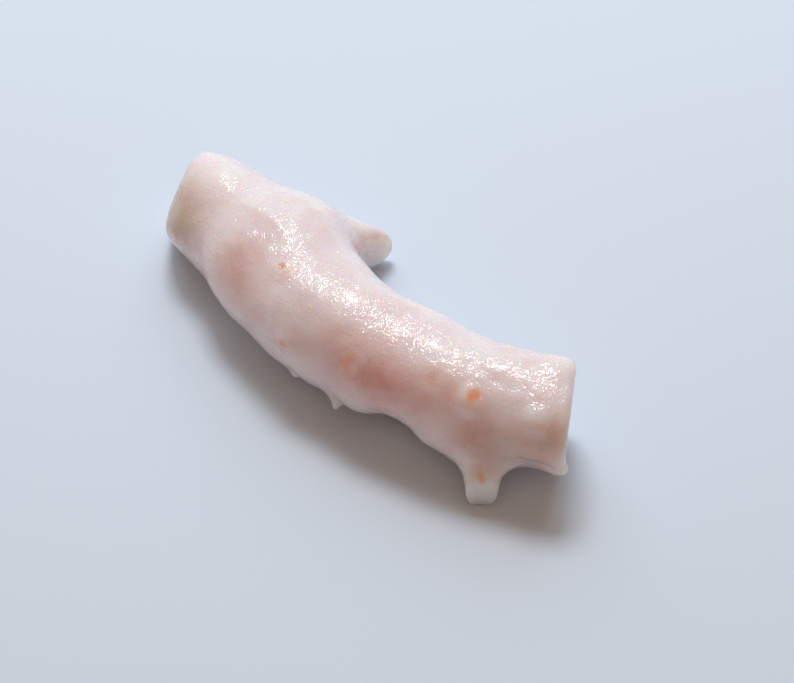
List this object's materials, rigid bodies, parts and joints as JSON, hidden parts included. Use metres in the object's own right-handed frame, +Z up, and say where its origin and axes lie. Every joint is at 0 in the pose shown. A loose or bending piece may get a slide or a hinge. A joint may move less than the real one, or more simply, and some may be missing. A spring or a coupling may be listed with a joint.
{
  "type": "pink coral branch",
  "caption": "Short polished branch of pink coral, a bent stem with two cut side branches, lying on its side.",
  "frame": {"origin": "on the surface it rests on, under the middle of its box", "axes": "+X along the stem towards its right end, +Z up, -Y towards the viewer"},
  "size_m": [0.0439, 0.0185, 0.01],
  "materials": {
    "coral": "polished, pale pink to cream with salmon patches"
  },
  "bodies": {
    "root": {"main_stem": "coral", "rear_branch": "coral", "front_branch": "coral"}
  },
  "joints": []
}
